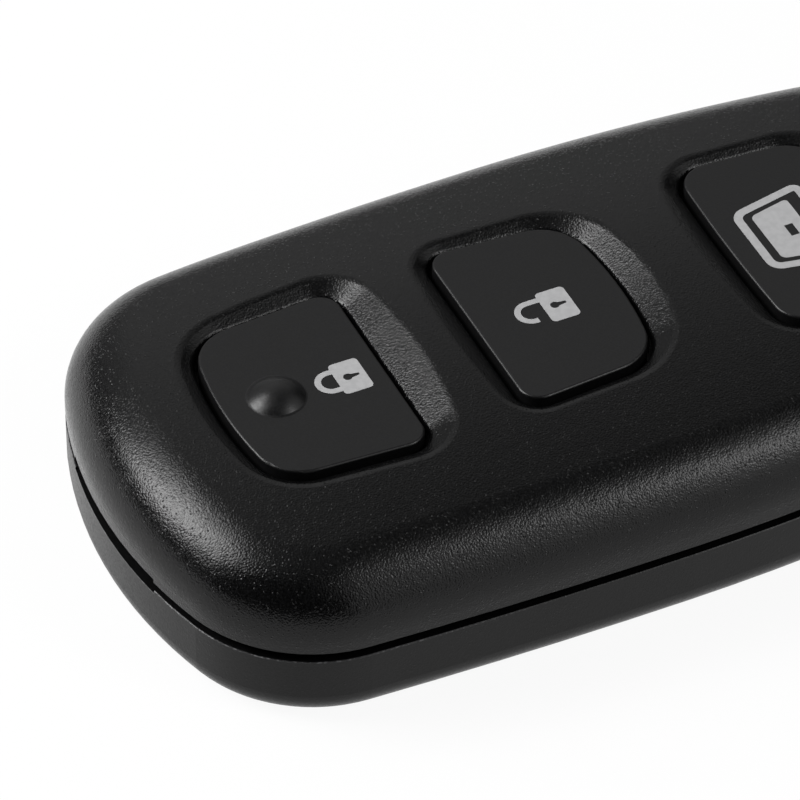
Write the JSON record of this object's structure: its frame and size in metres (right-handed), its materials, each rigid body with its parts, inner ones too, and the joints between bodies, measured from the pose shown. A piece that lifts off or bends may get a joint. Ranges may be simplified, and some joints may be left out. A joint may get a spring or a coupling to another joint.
{
  "type": "car key fob",
  "caption": "Oval plastic remote key fob in two clipped covers, with push buttons in sloped hollows down its crowned face and a key ring eye at one end.",
  "frame": {"origin": "middle of the footprint on the flat back of the rear cover", "axes": "+Y along the case towards the end with the lock button, away from the key ring eye, +Z out of the button face, +X to the right of the button symbols when read upright"},
  "size_m": [0.0352, 0.07, 0.0129],
  "materials": {
    "top_case": "fine matte grain",
    "rear_case": "fine matte grain",
    "button_plastic": "smooth satin",
    "alert_button_plastic": "smooth satin",
    "seal_rubber": "matte",
    "keypad_rubber": "matte",
    "board_laminate": "solder mask",
    "frame_plastic": "moulded",
    "screw_steel": "zinc plated",
    "switch_plastic": "moulded",
    "switch_steel": "stamped",
    "plunger_plastic": "moulded",
    "cell_steel": "bright nickel",
    "cell_seal_plastic": "moulded",
    "contact_steel": "stamped",
    "led_resin": "clear resin",
    "lens_plastic": "clear red",
    "chip_resin": "moulded",
    "capacitor_ceramic": "fired",
    "aerial_wire": "tinned copper",
    "symbol_ink": "pad printed"
  },
  "bodies": {
    "case": {"top_cover": "top_case", "rear_cover": "rear_case", "cover_seal": "seal_rubber", "keypad": "keypad_rubber", "circuit_board": "board_laminate", "board_frame": "frame_plastic", "board_screws": "screw_steel", "switch_terminals": "switch_steel", "battery_can": "cell_steel", "battery_cap": "cell_steel", "battery_seal": "cell_seal_plastic", "positive_contact": "contact_steel", "negative_contact": "contact_steel", "led": "led_resin", "led_lens": "lens_plastic", "microcontroller": "chip_resin", "controller_leads": "contact_steel", "radio_chip": "chip_resin", "crystal": "cell_steel", "chip_resistors": "chip_resin", "chip_capacitors": "capacitor_ceramic", "aerial_loop": "aerial_wire", "lock_switch": "switch_plastic", "lock_switch_plate": "switch_steel", "lock_snap_disc": "switch_steel", "unlock_switch": "switch_plastic", "unlock_switch_plate": "switch_steel", "unlock_snap_disc": "switch_steel", "window_switch": "switch_plastic", "window_switch_plate": "switch_steel", "window_snap_disc": "switch_steel", "panic_switch": "switch_plastic", "panic_switch_plate": "switch_steel", "panic_snap_disc": "switch_steel"},
    "lock_key": {"lock_button": "button_plastic", "lock_plunger": "plunger_plastic"},
    "unlock_key": {"unlock_button": "button_plastic", "unlock_plunger": "plunger_plastic"},
    "window_key": {"window_button": "button_plastic", "window_plunger": "plunger_plastic"},
    "panic_key": {"panic_button": "alert_button_plastic", "panic_plunger": "plunger_plastic"}
  },
  "joints": [
    {"name": "lock_press", "type": "slide", "parent": "case", "child": "lock_key", "axis": [0, 0, 1], "range_m": [-0.0004, 0], "stiffness_N_per_m": 2000, "deforming": ["keypad", "lock_snap_disc"]},
    {"name": "unlock_press", "type": "slide", "parent": "case", "child": "unlock_key", "axis": [0, 0, 1], "range_m": [-0.0004, 0], "stiffness_N_per_m": 2000, "deforming": ["keypad", "unlock_snap_disc"]},
    {"name": "window_press", "type": "slide", "parent": "case", "child": "window_key", "axis": [0, 0, 1], "range_m": [-0.0004, 0], "stiffness_N_per_m": 2000, "deforming": ["keypad", "window_snap_disc"]},
    {"name": "panic_press", "type": "slide", "parent": "case", "child": "panic_key", "axis": [0, 0, 1], "range_m": [-0.0004, 0], "stiffness_N_per_m": 2000, "deforming": ["keypad", "panic_snap_disc"]}
  ]
}
